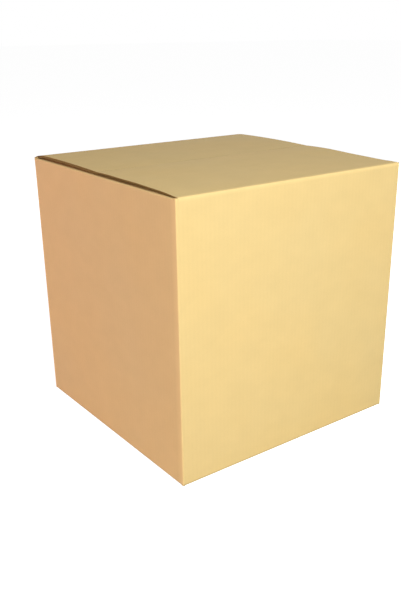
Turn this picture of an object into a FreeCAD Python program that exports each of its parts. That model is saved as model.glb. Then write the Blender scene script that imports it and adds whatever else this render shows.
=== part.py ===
import FreeCAD, Part
import math
import os

Vector = FreeCAD.Vector

# A regular slotted carton of single-wall corrugated board, set up and closed.
# Origin: middle of the underside. X runs along the front, Y from front to back, Z up.
# All sizes are millimetres and all angles are degrees.

# Outside of the carton, measured to the creases
carton_length = 465.0
carton_width = 457.0
carton_height = 464.0

# Corrugated board
board = 4.0
liner = 0.4
medium = 0.35
flute_pitch = 7.9
flute_crest = 1.6
flute_follow = 9.0
channel_depth = 1.6

# Folds, slots and the glued joint of the blank
corner_radius = 4.5
crease_radius = 2.5
crease_gap = 0.3
slot_inset = 4.4
fold_inset = 5.5
lower_rise = 0.4
tab_width = 35.0
tab_taper = 12.0
tab_end_gap = 8.0
joint_slit = 0.8
joint_slit_depth = 2.4

# Flaps
seam_gap = 1.0
inner_seam = 9.0
bottom_seam = 2.0
seat_gap = 0.5
side_play = 1.5
landing_length = 60.0
landing_angle = 0.6
front_kick_length = 34.0
front_shoulder_lift = 1.9
front_shoulder_angle = 2.0
back_kick_length = 36.0
back_shoulder_lift = 2.7
back_shoulder_angle = 1.6

# Faces and lines that several pieces share
half_length = carton_length / 2
half_width = carton_width / 2
outer_flap_half = half_length - slot_inset
side_fold_half = half_width - fold_inset
rim = carton_height - board


def circle_point(centre, radius, angle):
    # Point of a circle in the flap's side view where the surface climbs at this angle.
    return (centre[0] - radius * math.sin(angle), centre[1] + radius * math.cos(angle))


def in_front(point, x=0.0):
    # Side view to space: first value inwards from the front face, second up from the crease.
    return Vector(x, point[0] - half_width, point[1] + carton_height)


def front_arc(centre, radius, first, last):
    # Arc between two surface angles, in the plane of the flap's side view.
    ends = (first, (first + last) / 2, last)
    return Part.Arc(*[in_front(circle_point(centre, radius, angle)) for angle in ends]).toShape()


def front_line(first, last):
    # Straight edge in the plane of the flap's side view.
    return Part.makeLine(in_front(first), in_front(last))


def swept_along_front(edges, half):
    # Solid of a closed side view carried along X, from minus half to plus half.
    face = Part.Face(Part.Wire(Part.__sortEdges__(edges)))
    face.translate(Vector(-half, 0, 0))
    return face.extrude(Vector(2 * half, 0, 0))


class OuterFlapCurve:
    # Side view of an outer flap, as three tangent arcs: it kicks up from its crease over
    # the inner flaps, bows gently, and lands on them along its free edge.
    # Angles are the climb of the surface. A negative radius is a hollow arc.
    def __init__(self, kick_length, shoulder_lift, shoulder_angle):
        shoulder_height = board + shoulder_lift
        bow_length = half_width - seam_gap / 2 - kick_length - landing_length
        drop = shoulder_lift - seat_gap
        self.shoulder = math.radians(shoulder_angle)
        self.edge = -math.radians(landing_angle)
        self.kick = 2 * math.atan2(shoulder_height, kick_length) - self.shoulder
        turned = 2 * drop + bow_length * self.shoulder + landing_length * self.edge
        self.landing = -turned / (bow_length + landing_length)
        self.kick_radius = kick_length / (math.sin(self.kick) - math.sin(self.shoulder))
        self.kick_centre = self.centre_of(self.kick_radius, self.kick, (0.0, 0.0))
        self.bow_radius = bow_length / (math.sin(self.shoulder) - math.sin(self.landing))
        self.bow_centre = self.centre_of(self.bow_radius, self.shoulder, (kick_length, shoulder_height))
        self.land_radius = landing_length / (math.sin(self.landing) - math.sin(self.edge))
        landing_start = circle_point(self.bow_centre, self.bow_radius, self.landing)
        self.land_centre = self.centre_of(self.land_radius, self.landing, landing_start)
        self.set_crease()

    def centre_of(self, radius, angle, point):
        # Centre of the circle that passes this point while climbing at this angle.
        return (point[0] + radius * math.sin(angle), point[1] - radius * math.cos(angle))

    def set_crease(self):
        # The crease circle touches the wall's outer face and the flap's outer face.
        span = crease_radius - self.kick_centre[0]
        rise = math.sqrt((self.kick_radius - crease_radius) ** 2 - span ** 2)
        self.crease_centre = (crease_radius, self.kick_centre[1] + rise)
        self.crease_end = math.atan2(-span, rise)
        self.crease_middle = math.atan2(crease_radius, -self.crease_centre[1])
        self.inner_corner_angle = math.asin((self.kick_centre[0] - board) / (self.kick_radius - board))
        self.inner_corner = self.kick_point(board, self.inner_corner_angle)
        self.outer_corner = circle_point(self.crease_centre, crease_radius, self.crease_middle)

    def kick_point(self, depth, angle):
        return circle_point(self.kick_centre, self.kick_radius - depth, angle)

    def edge_point(self, depth):
        return circle_point(self.land_centre, self.land_radius - depth, self.edge)

    def layer_edges(self, depth, first):
        # Curve that lies this deep in the board, from one surface angle to the free edge.
        return [
            front_arc(self.kick_centre, self.kick_radius - depth, first, self.shoulder),
            front_arc(self.bow_centre, self.bow_radius - depth, self.shoulder, self.landing),
            front_arc(self.land_centre, self.land_radius - depth, self.landing, self.edge),
        ]

    def clear_of_inner_flaps(self):
        # Distance from the front face at which the underside has climbed over the inner flaps.
        radius = self.kick_radius - board
        return self.kick_centre[0] - math.sqrt(radius ** 2 - (seat_gap - self.kick_centre[1]) ** 2)


def crease_cut(curve):
    # Thin gap of the score line between wall and flap, with a little to spare at both ends.
    along = Vector(0, *[b - a for a, b in zip(curve.outer_corner, curve.inner_corner)]).normalize()
    across = Vector(0, -along.z, along.y) * (crease_gap / 2)
    spare = along * board
    outer = in_front(curve.outer_corner) - spare
    inner = in_front(curve.inner_corner) + spare
    corners = [outer - across, inner - across, inner + across, outer + across]
    face = Part.Face(Part.makePolygon(corners + corners[:1]))
    face.translate(Vector(-half_length, 0, 0))
    return face.extrude(Vector(carton_length, 0, 0))


def flute_prisms(corner, along, down, inwards, length):
    # Open flute ends in a cut edge: the channels between the liners and the zigzag medium.
    # corner is the middle of the edge's upper arris; along, down and inwards are unit vectors.
    height = board - 2 * liner
    run = flute_pitch / 2 - flute_crest
    skew = medium / (2 * math.sin(math.atan2(height, run)))
    wide = flute_pitch / 2 - flute_crest / 2 - skew
    narrow = flute_crest / 2 - skew + medium * run / height
    count = int((length - 2 * channel_depth) / flute_pitch)
    prisms = []
    for step in range(2 * count - 1):
        middle = (step - count + 1) * flute_pitch / 2
        upper = step % 2 == 0
        wide_depth = liner if upper else board - liner
        narrow_depth = board - liner - medium if upper else liner + medium
        section = [(-wide, wide_depth), (wide, wide_depth), (narrow, narrow_depth), (-narrow, narrow_depth)]
        corners = [corner + along * (middle + a) + down * d - inwards * liner for a, d in section]
        face = Part.Face(Part.makePolygon(corners + corners[:1]))
        prisms.append(face.extrude(inwards * (flute_follow + liner)))
    return prisms


def side_channels(curve):
    # Channel between the liners along both side edges, where the cut runs with the flutes.
    first = curve.inner_corner_angle
    upper = curve.layer_edges(liner, first)
    lower = curve.layer_edges(board - liner, first)
    edges = upper + lower
    edges.append(front_line(curve.kick_point(liner, first), curve.kick_point(board - liner, first)))
    edges.append(front_line(curve.edge_point(liner), curve.edge_point(board - liner)))
    channel = swept_along_front(edges, outer_flap_half)
    kept_half = outer_flap_half - channel_depth
    kept = Part.makeBox(2 * kept_half, carton_width, 2 * carton_height, Vector(-kept_half, -half_width, 0))
    return channel.cut(kept)


def outer_flap(curve):
    # Front outer flap, closed: the whole side view, less its crease gap, channels and flute ends.
    edges = [front_arc(curve.crease_centre, crease_radius, curve.crease_middle, curve.crease_end)]
    edges += curve.layer_edges(0.0, curve.crease_end)
    edges.append(front_line(curve.edge_point(0.0), curve.edge_point(board)))
    edges += curve.layer_edges(board, curve.inner_corner_angle)
    edges.append(front_line(curve.inner_corner, curve.outer_corner))
    flap = swept_along_front(edges, outer_flap_half)
    arris = in_front(curve.edge_point(0.0))
    down = Vector(0, math.sin(curve.edge), -math.cos(curve.edge))
    inwards = Vector(0, -math.cos(curve.edge), -math.sin(curve.edge))
    flutes = flute_prisms(arris, Vector(1, 0, 0), down, inwards, 2 * outer_flap_half)
    return flap.cut(Part.makeCompound([crease_cut(curve), side_channels(curve)] + flutes))


def turned_to_back(shape):
    # The same shape on the carton's back.
    back = shape.copy()
    back.rotate(Vector(0, 0, 0), Vector(0, 0, 1), 180)
    return back


def rounded_block(length, width, radius, bottom, top):
    # Upright block with rounded vertical corners, centred on the origin.
    block = Part.makeBox(length, width, top - bottom, Vector(-length / 2, -width / 2, bottom))
    uprights = [e for e in block.Edges if e.BoundBox.ZLength > (top - bottom) / 2]
    return block.makeFillet(radius, uprights)


def lower_side_crease():
    # What the rounded lower crease of the left wall leaves off its square edge.
    bend = crease_radius * (1 - math.sqrt(0.5))
    at = lambda x, z: Vector(x - half_length, -side_fold_half, z + lower_rise)
    edges = [
        Part.makeLine(at(0, 0), at(crease_radius, 0)),
        Part.Arc(at(crease_radius, 0), at(bend, bend), at(0, crease_radius)).toShape(),
        Part.makeLine(at(0, crease_radius), at(0, 0)),
    ]
    return Part.Face(Part.Wire(edges)).extrude(Vector(0, 2 * side_fold_half, 0))


def wall_tube():
    # The four walls between the slots, with the rounded corner folds and lower side creases.
    outside = rounded_block(carton_length, carton_width, corner_radius, lower_rise, rim)
    inside = rounded_block(
        carton_length - 2 * board, carton_width - 2 * board, corner_radius - board, 0.0, carton_height)
    return outside.cut([inside, lower_side_crease(), turned_to_back(lower_side_crease())])


def wall_top(curve):
    # Top of the front wall: its half of the crease, up to the score line.
    foot_outer = (0.0, -2 * board)
    foot_inner = (board, -2 * board)
    fold = circle_point(curve.crease_centre, crease_radius, math.pi / 2)
    edges = [
        front_line(foot_outer, fold),
        front_arc(curve.crease_centre, crease_radius, math.pi / 2, curve.crease_middle),
        front_line(curve.outer_corner, curve.inner_corner),
        front_line(curve.inner_corner, foot_inner),
        front_line(foot_inner, foot_outer),
    ]
    return swept_along_front(edges, outer_flap_half).cut(crease_cut(curve))


def bottom_outer_flap():
    # Front wall's lower fold and the outer bottom flap, glued flat against the inner ones.
    bend = crease_radius * (1 - math.sqrt(0.5))
    above = 2 * board + crease_radius
    reach = half_width - bottom_seam / 2
    at = lambda y, z: Vector(-outer_flap_half, y - half_width, z)
    edges = [
        Part.makeLine(at(0, above), at(0, crease_radius)),
        Part.Arc(at(0, crease_radius), at(bend, bend), at(crease_radius, 0)).toShape(),
        Part.makeLine(at(crease_radius, 0), at(reach, 0)),
        Part.makeLine(at(reach, 0), at(reach, board)),
        Part.makeLine(at(reach, board), at(board, board)),
        Part.makeLine(at(board, board), at(board, above)),
        Part.makeLine(at(board, above), at(0, above)),
    ]
    return Part.Face(Part.Wire(edges)).extrude(Vector(2 * outer_flap_half, 0, 0))


def inner_flaps(front_clear, back_clear):
    # Left top inner flap with its fold and open flute ends, and the left bottom inner flap.
    bend = crease_radius * (1 - math.sqrt(0.5))
    reach = half_length - inner_seam / 2
    at = lambda x, z: Vector(x - half_length, -side_fold_half, z)
    fold_edges = [
        Part.makeLine(at(0, rim - board), at(0, carton_height - crease_radius)),
        Part.Arc(at(0, carton_height - crease_radius), at(bend, carton_height - bend),
                 at(crease_radius, carton_height)).toShape(),
        Part.makeLine(at(crease_radius, carton_height), at(board, carton_height)),
        Part.makeLine(at(board, carton_height), at(board, rim - board)),
        Part.makeLine(at(board, rim - board), at(0, rim - board)),
    ]
    fold = Part.Face(Part.Wire(fold_edges)).extrude(Vector(0, 2 * side_fold_half, 0))
    start = front_clear - half_width
    end = half_width - back_clear
    top_flap = Part.makeBox(reach - crease_radius, end - start, board,
                            Vector(crease_radius - half_length, start, rim))
    arris = Vector(-inner_seam / 2, (start + end) / 2, carton_height)
    flutes = flute_prisms(arris, Vector(0, 1, 0), Vector(0, 0, -1), Vector(-1, 0, 0), end - start)
    top_flap = top_flap.cut(Part.makeCompound(flutes))
    bottom_half = half_width - board - side_play
    bottom_flap = Part.makeBox(reach - board / 2, 2 * bottom_half, board,
                               Vector(board / 2 - half_length, -bottom_half, board))
    return [fold, top_flap, bottom_flap]


def glued_tab():
    # Joint of the blank: the right wall's tab, glued inside the back wall.
    root = half_length - board / 2
    tip = half_length - board - tab_width
    low = 2 * board + tab_end_gap
    high = rim - tab_end_gap
    face_y = half_width - 2 * board
    outline = [(root, low), (tip, low + tab_taper), (tip, high - tab_taper), (root, high), (root, low)]
    face = Part.Face(Part.makePolygon([Vector(x, face_y, z) for x, z in outline]))
    return face.extrude(Vector(0, 1.5 * board, 0)).common(rounded_block(
        carton_length - board, carton_width - board, corner_radius - board / 2, 0.0, carton_height))


def joint_line():
    # Cut edge of the back wall, seen as a slit down the back right corner.
    return Part.makeBox(
        joint_slit, 2 * joint_slit_depth, rim,
        Vector(half_length - board - joint_slit, half_width - joint_slit_depth, lower_rise))


def carton_body(front, back):
    # Everything that stays folded while the outer top flaps open, as one sheet of board.
    left = inner_flaps(front.clear_of_inner_flaps(), back.clear_of_inner_flaps())
    right = [turned_to_back(s) for s in inner_flaps(back.clear_of_inner_flaps(), front.clear_of_inner_flaps())]
    folds = [wall_top(front), turned_to_back(wall_top(back))]
    bottoms = [bottom_outer_flap(), turned_to_back(bottom_outer_flap())]
    body = wall_tube().fuse(folds + bottoms + left + right + [glued_tab()])
    return body.cut(joint_line()).removeSplitter()


front_curve = OuterFlapCurve(front_kick_length, front_shoulder_lift, front_shoulder_angle)
back_curve = OuterFlapCurve(back_kick_length, back_shoulder_lift, back_shoulder_angle)

pieces = {
    "carton_body": carton_body(front_curve, back_curve),
    "front_flap": outer_flap(front_curve),
    "back_flap": turned_to_back(outer_flap(back_curve)),
}

os.makedirs("parts", exist_ok=True)
for name, shape in pieces.items():
    print(name, "solids", len(shape.Solids), "valid", shape.isValid(), "volume", round(shape.Volume))
    shape.exportStep("parts/" + name + ".step")
print("front crease angle", round(math.degrees(front_curve.kick), 2))
print("back crease angle", round(math.degrees(back_curve.kick), 2))
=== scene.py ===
import math

import bpy
import numpy as np
from mathutils import Euler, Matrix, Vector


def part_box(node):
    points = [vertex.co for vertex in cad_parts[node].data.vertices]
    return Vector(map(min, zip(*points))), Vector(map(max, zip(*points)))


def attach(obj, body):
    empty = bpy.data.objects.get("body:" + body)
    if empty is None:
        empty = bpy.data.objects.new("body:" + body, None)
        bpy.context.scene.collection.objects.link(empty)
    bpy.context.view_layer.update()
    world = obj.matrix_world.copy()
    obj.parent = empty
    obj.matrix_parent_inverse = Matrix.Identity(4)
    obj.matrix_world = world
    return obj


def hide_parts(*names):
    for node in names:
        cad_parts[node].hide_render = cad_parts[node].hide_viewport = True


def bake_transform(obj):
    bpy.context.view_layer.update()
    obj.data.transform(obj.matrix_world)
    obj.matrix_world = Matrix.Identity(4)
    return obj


# Plain kraft carton, set up and closed: board meshes, materials, camera and light.
# Metres throughout. X runs along the front, Y from front to back, Z up.

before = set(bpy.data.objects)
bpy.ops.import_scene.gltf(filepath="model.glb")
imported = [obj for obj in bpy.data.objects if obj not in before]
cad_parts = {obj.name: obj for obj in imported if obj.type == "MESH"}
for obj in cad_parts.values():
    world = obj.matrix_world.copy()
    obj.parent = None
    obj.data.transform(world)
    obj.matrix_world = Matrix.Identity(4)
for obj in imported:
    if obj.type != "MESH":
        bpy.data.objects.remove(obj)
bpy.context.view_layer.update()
halfLength, halfWidth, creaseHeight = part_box("carton_body")[1]
wallPair = 2 * (halfLength + halfWidth)  # length of the blank that two neighbouring walls take
print("frame loaded, creases at", round(creaseHeight, 4))

board = {
    "thickness": 0.0040,
    "liner": 0.0004,
    "medium": 0.0003,
    "flutePitch": 0.0079,
    "flutePhase": 1.2,
    "stepsPerFlute": 10,
    "linerColumns": 71,
    "rippleHeight": 0.00022,
    "rippleSize": 0.13,
    "seam": 0.0001,         # between two sheets that would share a face
    "sharpAngle": 32,       # degrees, past which an edge stays crisp
}

# Sides are numbered from the front, to the right and round
front, right, back, left = 0, 1, 2, 3

# Material numbers of a sheet's outer face, inner face and borders
outerLiner, innerLiner, medium = 0, 1, 2


def sideReach(side):
    # distance from the middle of the carton to this side's outer face
    return halfWidth if side in (front, back) else halfLength


def sideHalf(side):
    # half of a side's length along the blank
    return halfLength + halfWidth - sideReach(side)


def sideStart(side):
    # where this side starts on the unfolded blank, measured along its length
    return (0.0, 2 * halfLength, wallPair, wallPair + 2 * halfLength)[side]


def place(side, across, inwards, height):
    # A side's own measures to the carton's frame: the front's place, turned by quarter turns
    angle = side * math.pi / 2
    x = across + 0.0 * inwards
    y = inwards - sideReach(side) + 0.0 * across
    z = height + 0.0 * x
    return np.stack([x * math.cos(angle) - y * math.sin(angle),
                     x * math.sin(angle) + y * math.cos(angle), z], -1)


def ripple(u, v, size, height, seed):
    # Sum of six plane waves with random headings and phases, 0.6 to 1.8 times the size long,
    # brought to the range from 0 to height
    waves, shortest, longest = 6, 0.6, 1.8
    random = np.random.default_rng(seed)
    total = 0.0 * (u + v)
    for turn, phase, stretch in random.uniform(0, 1, (waves, 3)):
        heading = 2 * math.pi * turn
        step = 2 * math.pi / (size * (shortest + (longest - shortest) * stretch))
        along = u * math.cos(heading) + v * math.sin(heading)
        total = total + np.sin(along * step + 2 * math.pi * phase)
    return height * (0.5 + total / (2 * waves))


def slab(outer, inner, uv, slots, wrap=False):
    # Closed sheet between two equal grids of points, with the strips that join their borders.
    # slots are the material numbers of the outer face, the inner face and the borders.
    rows, cols = outer.shape[:2]
    count = rows * cols
    index = np.arange(count).reshape(rows, cols)
    uvIndex = np.arange(uv.shape[0] * cols).reshape(-1, cols)
    if wrap:
        index = np.vstack([index, index[:1]])

    def quads(a):
        return np.stack([a[:-1, :-1], a[1:, :-1], a[1:, 1:], a[:-1, 1:]], -1).reshape(-1, 4)

    def border(a, shift, turned):
        first, second = (a[:-1], a[1:]) if turned else (a[1:], a[:-1])
        return np.stack([first, second, second + shift, first + shift], -1)

    faces = [quads(index), quads(index + count)[:, ::-1]]
    corners = [quads(uvIndex), quads(uvIndex)[:, ::-1]]
    borders = [(index[:, 0], uvIndex[:, 0], False), (index[:, -1], uvIndex[:, -1], True)]
    if not wrap:
        borders += [(index[0], uvIndex[0], True), (index[-1], uvIndex[-1], False)]
    for edge, uvEdge, turned in borders:
        faces.append(border(edge, count, turned))
        corners.append(border(uvEdge, 0, turned))
    numbers = [slots[0], slots[1]] + [slots[2]] * len(borders)
    materials = np.repeat(numbers, [len(f) for f in faces])
    faces = np.vstack(faces)
    corners = np.vstack(corners)
    points = np.vstack([outer.reshape(-1, 3), inner.reshape(-1, 3)])
    # the first face shows whether the whole sheet has to be turned to face outwards
    first = points[faces[0]]
    facing = np.cross(first[1] - first[0], first[3] - first[0])
    lift = (outer - inner)[: min(rows, 2), :2].reshape(-1, 3).mean(0)
    if facing @ lift < 0:
        faces = faces[:, ::-1]
        corners = corners[:, ::-1]
    return points, faces, uv.reshape(-1, 2)[corners], materials


def makePiece(name, slabs, materials):
    # One mesh object from several slabs, with its blank layout as UV map
    points = np.vstack([s[0] for s in slabs])
    starts = np.cumsum([0] + [len(s[0]) for s in slabs[:-1]])
    faces = np.vstack([s[1] + start for s, start in zip(slabs, starts)])
    corners = np.vstack([s[2] for s in slabs])
    slots = np.concatenate([s[3] for s in slabs])
    mesh = bpy.data.meshes.new(name)
    mesh.vertices.add(len(points))
    mesh.vertices.foreach_set("co", points.astype(np.float32).ravel())
    mesh.loops.add(faces.size)
    mesh.loops.foreach_set("vertex_index", faces.astype(np.int32).ravel())
    mesh.polygons.add(len(faces))
    mesh.polygons.foreach_set("loop_start", np.arange(0, faces.size, 4, dtype=np.int32))
    mesh.update(calc_edges=True)
    for material in materials:
        mesh.materials.append(material)
    mesh.polygons.foreach_set("material_index", slots.astype(np.int32))
    layout = mesh.uv_layers.new(name="blank")
    layout.data.foreach_set("uv", corners.astype(np.float32).ravel())
    mesh.polygons.foreach_set("use_smooth", np.ones(len(faces), dtype=bool))
    mesh.set_sharp_from_angle(angle=math.radians(board["sharpAngle"]))
    mesh.validate()
    piece = bpy.data.objects.new(name, mesh)
    bpy.context.scene.collection.objects.link(piece)
    print("made", name, "with", len(faces), "faces")
    return piece


# Outer flaps: side views in metres, s inwards from the wall's face and h up from the crease

closing = {
    "landingLength": 0.060, "landingAngle": 2.2, "edgeHeight": 0.0034, "seamGap": 0.0004,
    "kickSteps": 16, "bowSteps": 20, "landingSteps": 10, "fluteRows": 24, "seed": 11,
}
frontFlap = {"kickLength": 0.034, "shoulderHeight": 0.0012, "shoulderAngle": 1.5, "twist": 0.0010}
backFlap = {"kickLength": 0.036, "shoulderHeight": 0.0051, "shoulderAngle": 1.0, "twist": 0.0}
twistZone = {"start": 0.008, "rise": 0.030, "end": 0.170, "fall": 0.070}
fold = {
    "radius": 0.0025, "gap": 0.0003, "slotInset": 0.0044, "turnWidth": 0.001, "rimDrop": 0.006,
    "rootLength": 0.002, "rootClearance": 0.0002, "columns": 121,
}


def arcThrough(point, angle, radius):
    # Circle that passes a point of the side view while its surface climbs at this angle
    return (point[0] + radius * math.sin(angle), point[1] - radius * math.cos(angle), radius)


def onArc(arc, angle, depth=0.0):
    # point of the arc where the surface climbs at this angle, some depth below the surface
    reach = arc[2] - depth
    return (arc[0] - reach * np.sin(angle), arc[1] + reach * np.cos(angle))


def flapCurve(flap):
    # Three tangent arcs: kick over the inner flaps, gentle bow, landing along the free edge.
    # Each arc's radius is its length over the change in the sine of its surface's angle.
    thick = board["thickness"]
    shoulder = math.radians(flap["shoulderAngle"])
    edge = -math.radians(closing["landingAngle"])
    kickLength, height = flap["kickLength"], flap["shoulderHeight"]
    landLength = closing["landingLength"]
    bowLength = halfWidth - closing["seamGap"] / 2 - kickLength - landLength
    drop = height - closing["edgeHeight"]
    kick = 2 * math.atan2(height, kickLength) - shoulder
    landing = -(2 * drop + bowLength * shoulder + landLength * edge) / (bowLength + landLength)
    kickArc = arcThrough((0, 0), kick, kickLength / (math.sin(kick) - math.sin(shoulder)))
    bowArc = arcThrough((kickLength, height), shoulder,
                        bowLength / (math.sin(shoulder) - math.sin(landing)))
    landArc = arcThrough(onArc(bowArc, landing), landing,
                         landLength / (math.sin(landing) - math.sin(edge)))
    # the crease is the circle that touches both the wall's face and the kick
    radius = fold["radius"]
    span = radius - kickArc[0]
    rise = math.sqrt((kickArc[2] - radius) ** 2 - span ** 2)
    inner = math.asin((kickArc[0] - thick) / (kickArc[2] - thick))
    return {
        "crease": (radius, kickArc[1] + rise, radius), "kick": kickArc, "bow": bowArc,
        "land": landArc, "creaseEnd": math.atan2(-span, rise), "shoulder": shoulder,
        "landing": landing, "edge": edge, "middle": math.atan2(radius, -(kickArc[1] + rise)),
        "inner": inner, "rootEnd": inner - fold["rootLength"] / kickArc[2],
    }


def line(parts):
    # Joins arcs to one side-view line with its outward normals and run length
    s, h, a = [], [], []
    for arc, first, last, steps in parts:
        angle = np.linspace(first, last, steps + 1)
        at = onArc(arc, angle)
        keep = slice(1 if s else 0, None)
        s.append(at[0][keep])
        h.append(at[1][keep])
        a.append(angle[keep])
    s, h, a = np.concatenate(s), np.concatenate(h), np.concatenate(a)
    run = np.concatenate([[0], np.cumsum(np.hypot(np.diff(s), np.diff(h)))])
    return {"s": s, "h": h, "ns": -np.sin(a), "nh": np.cos(a), "run": run}


def flatLine(first, last, height, facing, steps):
    # Straight run inwards at one height, facing up (1) or down (-1), with its steps closer
    # near the fold: the length times the share to the power of 1.8
    crowding = 1.8
    s = first + (last - first) * np.linspace(0, 1, steps + 1) ** crowding
    return {"s": s, "h": 0 * s + height, "ns": 0 * s, "nh": 0 * s + facing, "run": s - s[0]}


def layer(side, path, across, depth):
    # Grid of points at some depth in the board: the line's points less depth times its normal
    s = path["s"][:, None] - path["ns"][:, None] * depth + 0 * across[None, :]
    h = path["h"][:, None] - path["nh"][:, None] * depth + 0 * across[None, :]
    return place(side, across[None, :], s, creaseHeight + h)


def blankLayout(side, path, across, start):
    # Blank coordinates in metres: along the blank, and along the flutes
    u = sideStart(side) + sideHalf(side) + across[None, :] + 0 * path["run"][:, None]
    v = start + path["run"][:, None] + 0 * across[None, :]
    return np.stack([u, v], -1)


def flapTwist(flap, s, across):
    # How far the flap sinks on its right and rises on its left: an even slope across, that
    # comes and goes smoothly between the crease and the middle of the flap's length
    rise = np.clip((s - twistZone["start"]) / twistZone["rise"], 0, 1)
    fall = np.clip((twistZone["end"] - s) / twistZone["fall"], 0, 1)
    share = rise * fall
    return flap["twist"] * share ** 2 * (3 - 2 * share) * across / halfLength


def mainLine(curve):
    # side view of the flap past its crushed root
    return line([(curve["kick"], curve["rootEnd"], curve["shoulder"], closing["kickSteps"]),
                 (curve["bow"], curve["shoulder"], curve["landing"], closing["bowSteps"]),
                 (curve["land"], curve["landing"], curve["edge"], closing["landingSteps"])])


def noSink(s, across):
    # for a flap that keeps to its line
    return 0 * s


def boardSlabs(side, path, low, high, start, seed, fluteRows, sink):
    # Outer liner, inner liner and the fluted medium between them, as three closed sheets.
    # The medium is a cosine across the flutes. sink gives how far the sheet lies below its
    # line, from places inwards and across.
    thick, liner, thin = board["thickness"], board["liner"], board["medium"]

    def sheet(path, across, top, bottom, slots):
        uv = blankLayout(side, path, across, start)
        sunk = ripple(uv[..., 0], uv[..., 1], board["rippleSize"], board["rippleHeight"], seed)
        sunk = sunk + sink(path["s"][:, None], across[None, :])
        return slab(layer(side, path, across, sunk + top), layer(side, path, across, sunk + bottom),
                    uv, slots)

    across = np.linspace(low, high, board["linerColumns"])
    slabs = [sheet(path, across, 0.0, liner, (outerLiner, medium, medium)),
             sheet(path, across, thick - liner, thick, (medium, innerLiner, medium))]
    steps = int((high - low) / board["flutePitch"] * board["stepsPerFlute"])
    across = np.linspace(low + thin, high - thin, steps)
    rows = np.unique(np.linspace(0, len(path["s"]) - 1, fluteRows).astype(int))
    fewer = {key: values[rows] for key, values in path.items()}
    swing = (thick - 2 * liner - thin) / 2
    turn = 2 * math.pi * (across - low) / board["flutePitch"] + board["flutePhase"]
    wave = thick / 2 + swing * np.cos(turn)[None, :]
    slabs.append(sheet(fewer, across, wave - thin / 2, wave + thin / 2, (medium, medium, medium)))
    return slabs


def outerFlap(name, side, flap):
    # Crushed root at the crease, then the layered board to the free edge
    curve = flapCurve(flap)
    half = halfLength - fold["slotInset"]
    rootEnd, kick = curve["rootEnd"], curve["kick"]
    spare = fold["gap"] / 2 / fold["radius"]
    across = np.linspace(-half, half, fold["columns"])
    root = line([(curve["crease"], curve["middle"] - spare, curve["creaseEnd"], 6),
                 (kick, curve["creaseEnd"], rootEnd, 4)])
    under = line([(kick, curve["inner"] - fold["rootClearance"] / kick[2], rootEnd, 10)])
    uv = blankLayout(side, root, across, creaseHeight)
    slabs = [slab(layer(side, root, across, board["liner"]),
                  layer(side, under, across, board["thickness"]),
                  uv, (medium, innerLiner, outerLiner))]
    slabs += boardSlabs(side, mainLine(curve), -half, half, creaseHeight + root["run"][-1],
                        closing["seed"] + side, closing["fluteRows"],
                        lambda s, across: flapTwist(flap, s, across))
    return makePiece(name, slabs, boardMaterials)


def creaseStrip(name, side, flap):
    # Outer liner over the crease: wall face, crease arc and the flap's first few millimetres.
    curve = flapCurve(flap)
    half = halfLength - fold["slotInset"]
    wallEnd = curve["crease"][1]
    across = np.linspace(-half, half, fold["columns"])
    arcs = line([(curve["crease"], math.pi / 2, curve["creaseEnd"], 24),
                 (curve["kick"], curve["creaseEnd"], curve["rootEnd"], 4)])
    rise = np.linspace(-fold["rimDrop"], wallEnd, 4)[:-1]
    path = {
        "s": np.concatenate([0 * rise, arcs["s"]]), "h": np.concatenate([rise, arcs["h"]]),
        "ns": np.concatenate([0 * rise - 1, arcs["ns"]]),
        "nh": np.concatenate([0 * rise, arcs["nh"]]),
        "run": np.concatenate([rise - rise[0], arcs["run"] + wallEnd - rise[0]]),
    }
    uv = blankLayout(side, path, across, creaseHeight - fold["rimDrop"])
    strip = slab(layer(side, path, across, 0.0), layer(side, path, across, board["liner"]),
                 uv, (outerLiner, medium, medium))
    piece = makePiece(name, [strip], boardMaterials)
    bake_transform(piece)
    return piece


# Carton body

walls = {
    "outerRadius": 0.0030, "innerRadius": 0.0006, "foot": 0.0004, "foldFoot": 0.0032,
    "easeReach": 0.0126, "easeDepth": (0.0002, 0.0008, 0.0002, 0.0008), "cornerDrop": 0.0009,
    "rippleHeight": 0.0006, "rippleSize": 0.30, "rippleMargin": 0.030, "seed": 5,
    "sideColumns": 64, "rows": 24, "rimStep": 0.0002, "foldColumns": 61,
    "slitFirst": 62.0, "slitLast": 79.0, "slitEdge": 0.1, "slitDepth": 0.0024,
}
innerFlap = {
    "foldInset": 0.0055, "sideInset": 0.0065, "seam": 0.009,
    "drop": {right: 0.0048, left: 0.0023},
    "clearance": 0.0006, "pressReach": 0.006, "easeReach": 0.003, "wallRun": 0.0015,
    "steps": 20, "fluteRows": 12, "seed": 20,
}
bottomFlap = {
    "seam": 0.002, "sidePlay": 0.0015, "foldRadius": 0.0025, "easeReach": 0.004,
    "steps": 8, "fluteRows": 4, "innerSeed": 30, "outerSeed": 40,
}
tab = {"width": 0.035, "taper": 0.012, "endGap": 0.008, "cornerGap": 0.0003,
       "columns": 5, "rows": 12}


def cornerEase(side, across):
    # Board crushed along the vertical folds: a hollow that falls off evenly with distance
    near = np.clip(1 - (sideHalf(side) - np.abs(across)) / walls["easeReach"], 0, 1)
    return walls["easeDepth"][side] * near


def rimDrop(side):
    # how far below the crease a wall's plain board ends and its fold begins
    if side in (front, back):
        return fold["rimDrop"]
    return board["thickness"] + innerFlap["drop"][side]


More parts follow.
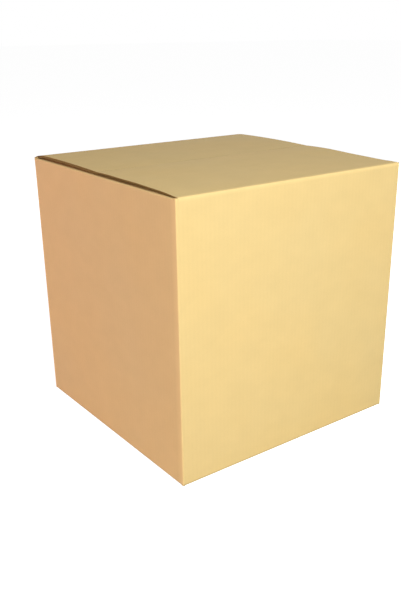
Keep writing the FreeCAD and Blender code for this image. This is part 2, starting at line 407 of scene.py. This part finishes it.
def wallOutline():
    # Round the four walls from the front left fold, for each column: outer place, inner place,
    # outward normal, blank coordinate, crushed depth, whether it is a corner, whether it is the
    # joint's slit, and the rim's drop
    radius, innerRadius, thick = walls["outerRadius"], walls["innerRadius"], board["thickness"]
    slitFirst, slitLast, edge = walls["slitFirst"], walls["slitLast"], walls["slitEdge"]
    bend = np.radians([10, 20, 30, 40, 50, 60, slitFirst - edge, slitFirst + edge, 70,
                       slitLast - edge, slitLast + edge, 84])
    turns = np.concatenate([np.zeros(walls["sideColumns"] + 4), bend])
    degrees = np.degrees(turns)
    nx, ny = np.sin(turns), -np.cos(turns)
    corner = np.concatenate([[True, True], np.zeros(walls["sideColumns"], bool),
                             np.ones(len(bend) + 2, bool)])
    columns = []
    for side in (front, right, back, left):
        reach, half, following = sideReach(side), sideHalf(side), (side + 1) % 4
        flat = half - radius
        slotEnd = half - (fold["slotInset"] if side in (front, back) else innerFlap["foldInset"])
        rimEnd = slotEnd + walls["rimStep"]
        straight = np.linspace(-slotEnd, slotEnd, walls["sideColumns"])
        straight = np.concatenate([[-flat, -rimEnd], straight, [rimEnd, flat]])
        ends = [cornerEase(side, flat), cornerEase(following, sideHalf(following) - radius)]
        ease = np.concatenate([cornerEase(side, straight), np.interp(bend, [0, math.pi / 2], ends)])
        x = np.concatenate([straight, flat + radius * np.sin(bend)])
        y = np.concatenate([0 * straight - reach, radius - reach - radius * np.cos(bend)])
        innerFlat = half - thick - innerRadius
        innerX = np.concatenate([straight * innerFlat / flat,
                                 innerFlat + innerRadius * np.sin(bend)])
        innerY = np.concatenate([0 * straight - reach + thick,
                                 thick + innerRadius * (1 - np.cos(bend)) - reach])
        u = sideStart(side) + half + np.concatenate([straight, flat + bend * radius])
        slit = (degrees > slitFirst) & (degrees < slitLast) & (side == right)
        c, n = math.cos(side * math.pi / 2), math.sin(side * math.pi / 2)
        columns.append(np.stack([
            x * c - y * n, x * n + y * c, innerX * c - innerY * n, innerX * n + innerY * c,
            nx * c - ny * n, nx * n + ny * c, u, ease, corner, slit, 0 * u + rimDrop(side)]))
    return np.concatenate(columns, 1)


def wallRing():
    # Closed ring of the four walls, straight up from the lower folds to the rim; the corners
    # stand between the slots. The walls sway by a ripple that dies out at rim, foot and folds.
    x, y, innerX, innerY, nx, ny, u, ease, corner, slit, drop = wallOutline()
    rim = creaseHeight - np.where(corner > 0, walls["cornerDrop"], drop)
    low = np.where(corner > 0, walls["foot"], walls["foldFoot"])
    share = np.linspace(0, 1, walls["rows"])
    z = low[:, None] + (rim - low)[:, None] * share[None, :]
    calm = (4 * share * (1 - share)) ** 2
    toCorner = np.abs(u[:, None] - u[corner > 0][None, :]).min(1)
    away = 1 - np.exp(-(toCorner / walls["rippleMargin"]) ** 2)
    sway = ripple(u[:, None], z, walls["rippleSize"], walls["rippleHeight"], walls["seed"])
    sway = sway * calm[None, :] * away[:, None]
    sink = sway + ease[:, None] + slit[:, None] * walls["slitDepth"]
    outer = np.stack([x[:, None] - nx[:, None] * sink, y[:, None] - ny[:, None] * sink, z], -1)
    inner = np.stack([innerX[:, None] - nx[:, None] * sway,
                      innerY[:, None] - ny[:, None] * sway, z], -1)
    layout = np.stack([u[:, None] + 0 * z, z], -1)
    layout = np.concatenate([layout, layout[:1] + np.array([2 * wallPair, 0])])
    return slab(outer, inner, layout, (outerLiner, innerLiner, medium), wrap=True)


def backing(path, first, last):
    # straight inner face of a folded edge, one board inwards, with as many points as its line
    s = 0 * path["s"] + board["thickness"]
    return dict(path, s=s, h=np.linspace(first, last, len(s)))


def innerFoldSlab(side, half):
    # Fold from the side wall over to its inner top flap: a quarter circle
    radius, drop, thick = fold["radius"], innerFlap["drop"][side], board["thickness"]
    lead = innerFlap["wallRun"]
    across = np.linspace(-half, half, walls["foldColumns"])
    arc = line([((radius, -drop - radius, radius), math.pi / 2, 0, 10)])
    path = {
        "s": np.concatenate([[0.0], arc["s"], [thick]]),
        "h": np.concatenate([[-drop - thick], arc["h"], [-drop]]),
        "ns": np.concatenate([[-1.0], arc["ns"], [0.0]]),
        "nh": np.concatenate([[0.0], arc["nh"], [1.0]]),
        "run": np.concatenate([[0.0], arc["run"] + lead, [arc["run"][-1] + 2 * lead]]),
    }
    within = backing(path, -drop - thick, -drop - board["seam"])
    uv = blankLayout(side, path, across, creaseHeight - drop - thick)
    fade = np.clip(1 - path["run"] / innerFlap["easeReach"], 0, 1)
    ease = cornerEase(side, across)[None, :] * fade[:, None]
    return slab(layer(side, path, across, ease), layer(side, within, across, 0.0),
                uv, (outerLiner, innerLiner, medium))


def pressedDown(side):
    # How far an inner top flap is pressed down by the outer flaps: where their undersides lie
    # lower than its own height, it keeps a small clearance below them, from just past its fold
    lines = [(flap, mainLine(flapCurve(flap))) for flap in (frontFlap, backFlap)]
    turn = 1 if side == right else -1

    def sink(s, across):
        x, y = turn * (halfLength - s) + 0 * across, turn * across + 0 * s
        press = 0 * x
        for sign, (flap, path) in zip((1, -1), lines):
            reach = halfWidth + sign * y
            under = np.interp(reach, path["s"], path["h"]) - board["thickness"]
            under = under - flapTwist(flap, reach, sign * x)
            low = innerFlap["clearance"] - innerFlap["drop"][side] - under
            press = np.maximum(press, np.where(sign * y < 0, low, 0))
        return press * np.clip((s - board["thickness"]) / innerFlap["pressReach"], 0, 1)
    return sink


def lowerFoldSlab(side, half, foot):
    # Fold under the wall to its bottom flap: a quarter circle. foot is how high its outer
    # face lies.
    radius, thick, top = bottomFlap["foldRadius"], board["thickness"], walls["foldFoot"]
    across = np.linspace(-half, half, walls["foldColumns"])
    angle = np.linspace(0, math.pi / 2, 11)
    s = np.concatenate([[0.0], radius - radius * np.cos(angle), [thick]])
    z = np.concatenate([[top + 1e-6], foot + radius - radius * np.sin(angle), [foot]])
    run = np.concatenate([[0], np.cumsum(np.hypot(np.diff(s), np.diff(z)))])
    path = {"s": s, "h": z - creaseHeight, "ns": 0 * s - 1, "nh": 0 * s, "run": run}
    within = backing(path, top - creaseHeight, foot + board["seam"] - creaseHeight)
    uv = blankLayout(side, path, across, 0.0)
    uv[..., 1] = top - run[:, None]
    fade = np.clip(1 - run / bottomFlap["easeReach"], 0, 1)
    ease = cornerEase(side, across)[None, :] * fade[:, None]
    return slab(layer(side, path, across, ease), layer(side, within, across, 0.0),
                uv, (outerLiner, innerLiner, medium))


def wallTopSlab(side, flap):
    # Crushed board at the top of the front or back wall, up to the score line
    curve = flapCurve(flap)
    half, drop = halfLength - fold["slotInset"], fold["rimDrop"]
    across = np.linspace(-half, half, walls["foldColumns"])
    spare = fold["gap"] / 2 / fold["radius"]
    arc = line([(curve["crease"], math.pi / 2, curve["middle"] + spare, 8)])
    path = {"s": np.concatenate([[0.0], arc["s"]]), "h": np.concatenate([[-drop], arc["h"]]),
            "ns": np.concatenate([[-1.0], arc["ns"]]), "nh": np.concatenate([[0.0], arc["nh"]]),
            "run": np.concatenate([[0.0], arc["run"] + 0.002])}
    top = onArc(curve["kick"], curve["inner"], board["thickness"])[1] - fold["gap"] / 2
    within = backing(path, -drop, top)
    uv = blankLayout(side, path, across, creaseHeight - drop)
    return slab(layer(side, path, across, board["liner"]), layer(side, within, across, 0.0),
                uv, (medium, innerLiner, innerLiner))


def tabSlab():
    # Glue tab of the right wall against the inside of the back wall, tapered at both ends
    thick = board["thickness"]
    share = np.linspace(0, 1, tab["columns"])
    x = halfLength - thick - tab["cornerGap"] - tab["width"] * share
    low = 2 * thick + tab["endGap"] + tab["taper"] * share
    high = creaseHeight - thick - tab["endGap"] - tab["taper"] * share
    z = low[:, None] + (high - low)[:, None] * np.linspace(0, 1, tab["rows"])[None, :]
    x = x[:, None] + 0 * z
    y = halfWidth - thick + 0 * z
    uv = np.stack([wallPair + share[:, None] * tab["width"] + 0 * z, z], -1)
    return slab(np.stack([x, y - thick, z], -1), np.stack([x, y - board["seam"], z], -1),
                uv, (innerLiner, innerLiner, medium))


def cartonBoard():
    # Everything that stays folded while the outer top flaps open
    thick = board["thickness"]
    reach = halfLength - innerFlap["seam"] / 2
    slabs = [wallRing()]
    for side in (left, right):
        slabs.append(innerFoldSlab(side, halfWidth - innerFlap["foldInset"]))
        upper = flatLine(thick, reach, -innerFlap["drop"][side], 1, innerFlap["steps"])
        half = halfWidth - innerFlap["sideInset"]
        slabs += boardSlabs(side, upper, -half, half, creaseHeight, innerFlap["seed"] + side,
                            innerFlap["fluteRows"], pressedDown(side))
    for side in (left, right):
        slabs.append(lowerFoldSlab(side, halfWidth - walls["outerRadius"], walls["foot"]))
        half = halfWidth - thick - bottomFlap["sidePlay"]
        lower = flatLine(thick, reach, thick - creaseHeight, -1, bottomFlap["steps"])
        slabs += boardSlabs(side, lower, -half, half, 0.0, bottomFlap["innerSeed"] + side,
                            bottomFlap["fluteRows"], noSink)
    for side in (front, back):
        slabs.append(lowerFoldSlab(side, halfLength - walls["outerRadius"], 0.0))
        half = halfLength - fold["slotInset"]
        lower = flatLine(thick, halfWidth - bottomFlap["seam"] / 2, -creaseHeight, -1,
                         bottomFlap["steps"])
        slabs += boardSlabs(side, lower, -half, half, 0.0, bottomFlap["outerSeed"] + side,
                            bottomFlap["fluteRows"], noSink)
    slabs += [wallTopSlab(front, frontFlap), wallTopSlab(back, backFlap), tabSlab()]
    return makePiece("carton_board", slabs, boardMaterials)


# Materials. Sizes are in metres on the blank, amounts are shares of the brightness.

kraft = {
    "outer": {"color": (0.68, 0.515, 0.228), "roughness": 0.82, "washboard": 0.012,
              "relief": 0.00004},
    "inner": {"color": (0.60, 0.45, 0.205), "roughness": 0.86, "washboard": 0.030,
              "relief": 0.00005},
    "medium": {"color": (0.28, 0.19, 0.055), "roughness": 0.92, "washboard": 0.0,
               "relief": 0.00005},
    "roughnessPlay": 0.05, "specular": 0.25, "warmTint": (1.0, 0.975, 0.93, 1.0),
    # each noise: size along the blank and along the flutes, detail, roughness, amount
    "cloud": ((0.045, 0.036), 4.0, 0.55, 0.10),
    "patch": ((0.22, 0.22), 2.0, 0.55, 0.07),
    "fibre": ((0.0035, 0.00035), 3.0, 0.6, 0.12),
    "grain": ((0.0011, 0.0011), 2.0, 0.7, 0.10),
    # flecks: their size, then the noise levels where they start and are full, and the amount
    "fleckSize": (0.0030, 0.0007),
    "darkFleck": (0.73, 0.80, -0.20), "paleFleck": (0.27, 0.20, 0.10),
    # each painted band, highlight along a fold or shade along the foot: distance from the fold
    # where it starts to fade, where it ends, amount
    "foldHighlight": (0.0015, 0.0060, 0.05), "sideFoldHighlight": (0.0080, 0.0150, 0.07),
    # the last number: how far fibre noise moves the edges of the painted highlight bands
    "creaseHighlight": (0.0045, 0.0090, 0.12), "footShade": (0.0014, 0.0044, -0.34), "bandJitterSize": 0.004,
    "fibreRelief": 0.6, "grainRelief": 0.4, "washboardRelief": 0.25, "bump": 0.6,
}


def addNode(tree, kind, settings=None, **values):
    # New node with its settings, and its inputs given as values or as sockets to link
    node = tree.nodes.new(kind)
    for key, value in (settings or {}).items():
        setattr(node, key, value)
    for key, value in values.items():
        numbered = key[0] == "i" and key[1:].isdigit()
        socket = node.inputs[int(key[1:]) if numbered else key.replace("_", " ")]
        if isinstance(value, bpy.types.NodeSocket):
            tree.links.new(value, socket)
        else:
            socket.default_value = value
    return node


def calculate(tree, operation, first, second=0.0, third=0.0):
    # one step of arithmetic between sockets or numbers
    node = addNode(tree, "ShaderNodeMath", {"operation": operation}, i0=first, i1=second, i2=third)
    return node.outputs[0]


def noise(tree, place, size, detail, roughness):
    # noise of the blank's coordinates, with features of the given sizes
    scaled = addNode(tree, "ShaderNodeVectorMath", {"operation": "DIVIDE"}, i0=place,
                     i1=(*size, 1.0))
    return addNode(tree, "ShaderNodeTexNoise", None, Vector=scaled.outputs[0], Scale=1.0,
                   Detail=detail, Roughness=roughness).outputs[0]


def spread(tree, value, low, high, first, last):
    # straight change from one range to another, held at its ends
    return addNode(tree, "ShaderNodeMapRange", None, Value=value, From_Min=low, From_Max=high,
                   To_Min=first, To_Max=last).outputs[0]


def boardMaterial(name, look):
    # Unbleached kraft liner. Its brightness is 1 plus cloudy formation, fibres along the blank,
    # fine grain, the washboard of the flutes, dark and light flecks, painted highlight bands along
    # the folds and painted shade along the foot.
    material = bpy.data.materials.new(name)
    material.use_nodes = True
    tree = material.node_tree
    shader = tree.nodes["Principled BSDF"]
    place = addNode(tree, "ShaderNodeUVMap", {"uv_map": "blank"}).outputs[0]
    parts = addNode(tree, "ShaderNodeSeparateXYZ", None, i0=place)
    u, v = parts.outputs[0], parts.outputs[1]
    turn = calculate(tree, "MULTIPLY", u, 2 * math.pi / board["flutePitch"])
    wave = calculate(tree, "COSINE", turn)
    light = calculate(tree, "MULTIPLY_ADD", wave, look["washboard"] / 2, 1.0)
    formation = {}
    for kind in ("cloud", "patch", "fibre", "grain"):
        size, detail, roughness, amount = kraft[kind]
        formation[kind] = noise(tree, place, size, detail, roughness)
        centred = calculate(tree, "SUBTRACT", formation[kind], 0.5)
        light = calculate(tree, "MULTIPLY_ADD", centred, amount, light)
    patch, fibre, grain = (formation[kind] for kind in ("patch", "fibre", "grain"))

    # Distance along the blank to the nearest vertical fold. The folds repeat after two walls.
    along = calculate(tree, "FLOORED_MODULO", u, wallPair)
    near = calculate(tree, "MINIMUM", along, calculate(tree, "SUBTRACT", wallPair, along))
    gap = calculate(tree, "ABSOLUTE", calculate(tree, "SUBTRACT", along, 2 * halfLength))
    near = calculate(tree, "MINIMUM", near, gap)
    # Fibre noise that makes the edges of the painted highlight bands ragged
    bandJitter = calculate(tree, "MULTIPLY", fibre, kraft["bandJitterSize"])
    near = calculate(tree, "ADD", near, bandJitter)
    # Painted highlight: paler within a few millimetres of every vertical fold
    light = calculate(tree, "ADD", light, spread(tree, near, *kraft["foldHighlight"], 0.0))
    # Painted highlight: the side walls are paler in a wider band beside their folds, the front and
    # back along the score line
    sides = calculate(tree, "GREATER_THAN", along, 2 * halfLength)
    sideFoldHighlight = spread(tree, near, *kraft["sideFoldHighlight"], 0.0)
    light = calculate(tree, "MULTIPLY_ADD", sideFoldHighlight, sides, light)
    # Painted highlight along the top crease of the front and back walls
    gap = calculate(tree, "ABSOLUTE", calculate(tree, "SUBTRACT", v, creaseHeight))
    creaseHighlight = spread(tree, calculate(tree, "ADD", gap, bandJitter), *kraft["creaseHighlight"], 0.0)
    light = calculate(tree, "MULTIPLY_ADD", creaseHighlight, calculate(tree, "SUBTRACT", 1.0, sides), light)
    # Painted shade: the lowest few millimetres, where the walls fold under, are darker
    foot = spread(tree, calculate(tree, "ABSOLUTE", v), *kraft["footShade"], 0.0)
    light = calculate(tree, "ADD", light, foot)
    fleck = noise(tree, place, kraft["fleckSize"], 1.0, 0.55)
    for low, high, amount in (kraft["darkFleck"], kraft["paleFleck"]):
        seen = spread(tree, fleck, low, high, 0.0, 1.0)
        light = calculate(tree, "MULTIPLY_ADD", seen, amount, light)

    color = addNode(tree, "ShaderNodeVectorMath", {"operation": "SCALE"}, i0=look["color"],
                    Scale=light)
    warm = addNode(tree, "ShaderNodeMix", {"data_type": "RGBA", "blend_type": "MULTIPLY"},
                   i0=spread(tree, patch, 0.3, 0.7, 0.0, 1.0), i6=color.outputs[0],
                   i7=kraft["warmTint"])
    tree.links.new(warm.outputs[2], shader.inputs["Base Color"])
    rough, play = look["roughness"], kraft["roughnessPlay"]
    rough = spread(tree, fibre, 0.3, 0.7, rough - play, rough + play)
    tree.links.new(rough, shader.inputs["Roughness"])
    shader.inputs["Specular IOR Level"].default_value = kraft["specular"]
    height = calculate(tree, "ADD", calculate(tree, "MULTIPLY", fibre, kraft["fibreRelief"]),
                       calculate(tree, "MULTIPLY", grain, kraft["grainRelief"]))
    waveRelief = kraft["washboardRelief"] if look["washboard"] else 0.0
    height = calculate(tree, "MULTIPLY_ADD", wave, waveRelief, height)
    bump = addNode(tree, "ShaderNodeBump", None, Strength=kraft["bump"], Distance=look["relief"],
                   Height=height)
    tree.links.new(bump.outputs[0], shader.inputs["Normal"])
    return material


boardMaterials = [
    boardMaterial("kraft_outer_liner", kraft["outer"]),
    boardMaterial("kraft_inner_liner", kraft["inner"]),
    boardMaterial("fluted_medium", kraft["medium"]),
]
print("materials made")

cartonPiece = cartonBoard()
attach(cartonPiece, "carton")
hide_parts("carton_body")
for name, side, flap, node, lid in (
        ("front_flap_board", front, frontFlap, "front_flap", "front_lid"),
        ("back_flap_board", back, backFlap, "back_flap", "back_lid")):
    piece = outerFlap(name, side, flap)
    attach(piece, lid)
    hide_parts(node)
for name, side, flap, lid in (("front_crease", front, frontFlap, "front_lid"),
                              ("back_crease", back, backFlap, "back_lid")):
    creaseStrip(name, side, flap)


# Camera, floor and light

photoView = {
    "place": (-0.8028, -1.0783, 0.6815), "azimuth": 37.07, "elevation": 21.738, "roll": -0.38,
    "focal": 753.7, "center": (218.0, 327.0), "width": 401, "height": 601, "sensor": 36.0,
}
studio = {
    "worldLevel": 0.17, "backdropLevel": 1.0, "floorHalf": 30.0, "floorColor": (0.8, 0.8, 0.8, 1),
    "floorRoughness": 0.9, "floorLift": 0.85, "aim": (0, 0, 0.24),
}
lamps = {
    "key": {"place": (-0.5, -1.95, 1.42), "size": 1.1, "power": 51, "color": (1.0, 1.0, 0.99)},
    "fill": {"place": (1.9, 2.0, 0.45), "size": 1.4, "power": 28, "color": (1.0, 0.94, 0.92)},
    "side": {"place": (-2.2, 0.9, 0.7), "size": 1.2, "power": 24, "color": (1.0, 0.59, 0.72)},
}


def addCamera(view):
    # Focal length and principal point in pixels, turned into Blender's lens and shift
    data = bpy.data.cameras.new("camera")
    data.sensor_width = view["sensor"]
    longer = max(view["width"], view["height"])
    data.lens = view["focal"] / longer * view["sensor"]
    data.shift_x = (view["width"] / 2 - view["center"][0]) / longer
    data.shift_y = (view["center"][1] - view["height"] / 2) / longer
    data.clip_start = 0.01
    camera = bpy.data.objects.new("camera", data)
    bpy.context.scene.collection.objects.link(camera)
    camera.location = view["place"]
    pitch, heading = math.radians(90 - view["elevation"]), math.radians(-view["azimuth"])
    tilt = Euler((pitch, 0, heading), "XYZ").to_matrix()
    roll = Euler((0, 0, math.radians(view["roll"])), "XYZ").to_matrix()
    camera.rotation_euler = (tilt @ roll).to_euler()
    bpy.context.scene.camera = camera


def addLamp(name, lamp):
    # Soft square lamp that faces the middle of the carton
    data = bpy.data.lights.new(name, "AREA")
    data.size = lamp["size"]
    data.energy = lamp["power"]
    data.color = lamp["color"]
    light = bpy.data.objects.new(name, data)
    bpy.context.scene.collection.objects.link(light)
    light.location = lamp["place"]
    x, y, z = np.array(studio["aim"]) - np.array(lamp["place"])
    light.rotation_euler = (math.atan2(math.hypot(x, y), -z), 0, math.atan2(y, x) - math.pi / 2)


def addWorld():
    # White to the camera and in reflections, a low even level as light on the object
    world = bpy.data.worlds.new("studio")
    bpy.context.scene.world = world
    world.use_nodes = True
    tree = world.node_tree
    background = tree.nodes["Background"]
    rays = addNode(tree, "ShaderNodeLightPath").outputs
    seen = calculate(tree, "MAXIMUM", rays["Is Camera Ray"], rays["Is Glossy Ray"])
    seen = calculate(tree, "MAXIMUM", seen, rays["Is Transmission Ray"])
    level = spread(tree, seen, 0.0, 1.0, studio["worldLevel"], studio["backdropLevel"])
    tree.links.new(level, background.inputs["Strength"])
    background.inputs["Color"].default_value = (1, 1, 1, 1)


def addFloor():
    # Pale ground that looks white to the camera and still takes the object's shadow
    half = studio["floorHalf"]
    mesh = bpy.data.meshes.new("floor")
    mesh.from_pydata([(-half, -half, 0), (half, -half, 0), (half, half, 0), (-half, half, 0)],
                     [], [(0, 1, 2, 3)])
    floor = bpy.data.objects.new("floor", mesh)
    bpy.context.scene.collection.objects.link(floor)
    material = bpy.data.materials.new("white_ground")
    material.use_nodes = True
    tree = material.node_tree
    shader = tree.nodes["Principled BSDF"]
    shader.inputs["Base Color"].default_value = studio["floorColor"]
    shader.inputs["Roughness"].default_value = studio["floorRoughness"]
    shader.inputs["Specular IOR Level"].default_value = 0.0
    shader.inputs["Emission Color"].default_value = (1, 1, 1, 1)
    rays = addNode(tree, "ShaderNodeLightPath").outputs
    lift = calculate(tree, "MULTIPLY", rays["Is Camera Ray"], studio["floorLift"])
    tree.links.new(lift, shader.inputs["Emission Strength"])
    mesh.materials.append(material)


addCamera(photoView)
addWorld()
addFloor()
for name, lamp in lamps.items():
    addLamp(name, lamp)
bpy.context.scene.view_settings.view_transform = "Standard"
print("camera, floor and light set")
